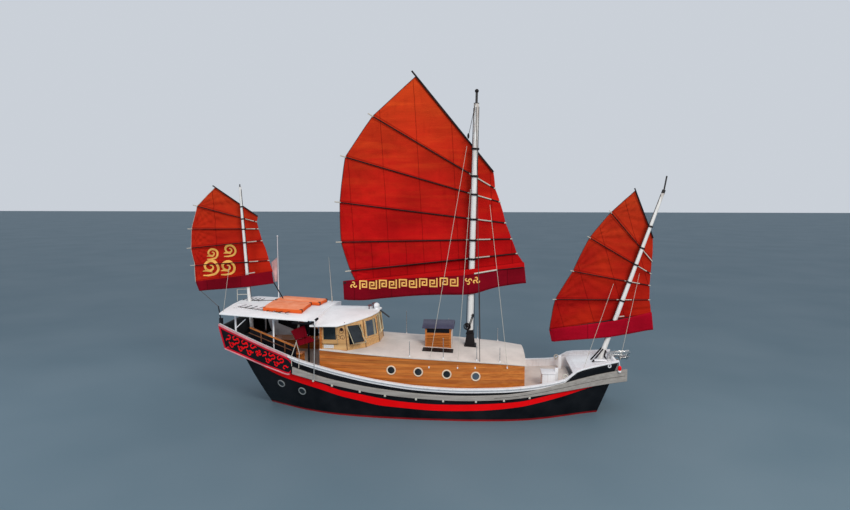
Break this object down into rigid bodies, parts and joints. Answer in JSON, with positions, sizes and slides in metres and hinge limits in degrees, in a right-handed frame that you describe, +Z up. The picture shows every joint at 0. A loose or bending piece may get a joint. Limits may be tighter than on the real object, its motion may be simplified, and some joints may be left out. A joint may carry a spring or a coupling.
{
  "type": "three-masted chinese junk ship",
  "caption": "Wooden sailing junk afloat: whole hull with keel, deckhouse, wheelhouse, covered poop, and battened red lug sails that swing round their masts.",
  "frame": {"origin": "on the waterline and the centre plane, near the middle of the length", "axes": "+X to the bow, +Y to port, +Z up"},
  "size_m": [18.4501, 4.49, 14.0866],
  "materials": {
    "hull_black": "gloss black paint on planking",
    "cap_white": "white deck paint, satin",
    "wale_grey": "weathered grey timber",
    "border_red": "red gloss paint",
    "varnish": "varnished hardwood planks",
    "deck_cream": "pale cream deck paint, matt",
    "roof_white": "white painted canvas on boards",
    "float_orange": "orange sheathed foam",
    "lid_slate": "dark slate paint",
    "spar_white": "white gloss spar paint, weather streaks",
    "spar_black": "black paint, satin",
    "sail_red": "tan bark red sailcloth",
    "band_crimson": "dark crimson sailcloth",
    "steel": "stainless steel",
    "bronze": "cast bronze",
    "bottom_red": "matt red antifouling",
    "glass": "dark window glass",
    "rope": "three-strand rope"
  },
  "bodies": {
    "hull": {"hull": "hull_black", "main_deck": "deck_cream", "poop_deck": "deck_cream", "foredeck": "cap_white", "wale_port": "wale_grey", "wale_starboard": "wale_grey", "quarter_board_port": "hull_black", "quarter_board_starboard": "hull_black", "cap_rail_port": "cap_white", "cap_rail_starboard": "cap_white", "stern_gallery": "hull_black", "trunk_cabin": "varnish", "coachroof": "deck_cream", "wheelhouse_roof": "roof_white", "wheelhouse": "varnish", "aft_roof": "roof_white", "roof_frame_port": "spar_white", "roof_frame_starboard": "spar_white", "float_1": "float_orange", "float_2": "float_orange", "companion_box": "varnish", "main_mast": "spar_white", "fore_mast": "spar_white", "mizzen_mast": "spar_white", "foremast_cheeks": "spar_black", "mainmast_cheeks": "spar_black", "main_shroud_port": "spar_black", "main_shroud_starboard": "spar_black", "bitt_port": "cap_white", "bitt_starboard": "cap_white", "bow_roller": "steel"},
    "wheelhouse_door": {"wheelhouse_door": "varnish"},
    "hatch_lid": {"hatch_lid": "lid_slate"},
    "rudder": {"rudder": "bottom_red"},
    "propeller": {"propeller": "bronze"},
    "main_sail": {"main_sail": "sail_red", "main_yard": "spar_black", "main_boom": "spar_black", "main_batten_1": "spar_black", "main_batten_2": "spar_black", "main_batten_3": "spar_black", "main_batten_4": "spar_black", "main_batten_5": "spar_black", "main_parrels": "spar_white"},
    "fore_sail": {"fore_sail": "sail_red", "fore_yard": "spar_black", "fore_boom": "spar_black", "fore_batten_1": "spar_black", "fore_batten_2": "spar_black", "fore_batten_3": "spar_black", "fore_batten_4": "spar_black", "fore_parrels": "spar_white"},
    "mizzen_sail": {"mizzen_sail": "sail_red", "mizzen_yard": "spar_black", "mizzen_boom": "spar_black", "mizzen_batten_1": "spar_black", "mizzen_batten_2": "spar_black", "mizzen_batten_3": "spar_black", "mizzen_batten_4": "spar_black", "mizzen_parrels": "spar_white"}
  },
  "joints": [
    {"name": "main_sail_swing", "type": "hinge", "parent": "hull", "child": "main_sail", "pos_m": [1.443, 0, 0.356], "axis": [0.0204, 0, 0.9998], "range_deg": [-35, 35]},
    {"name": "fore_sail_swing", "type": "hinge", "parent": "hull", "child": "fore_sail", "pos_m": [6.39, 0, 1.7], "axis": [0.3141, 0, 0.9494], "range_deg": [-45, 45]},
    {"name": "mizzen_sail_swing", "type": "hinge", "parent": "hull", "child": "mizzen_sail", "pos_m": [-7.205, 0, 2.25], "axis": [-0.0577, 0, 0.9983], "range_deg": [-45, 45]},
    {"name": "rudder_turn", "type": "hinge", "parent": "hull", "child": "rudder", "pos_m": [-5.75, 0, -0.5], "axis": [0, 0, 1], "range_deg": [-35, 35]},
    {"name": "propeller_spin", "type": "hinge", "parent": "hull", "child": "propeller", "pos_m": [-5.39, 0, -0.8], "axis": [1, 0, 0], "continuous": true},
    {"name": "hatch_lid_open", "type": "hinge", "parent": "hull", "child": "hatch_lid", "pos_m": [0.3, 0.42, 3.0603], "axis": [-1, 0, 0], "range_deg": [0, 85]},
    {"name": "wheelhouse_door_open", "type": "hinge", "parent": "hull", "child": "wheelhouse_door", "pos_m": [-4, 0.3497, 2.4], "axis": [0, 0, -1], "range_deg": [0, 100]}
  ]
}
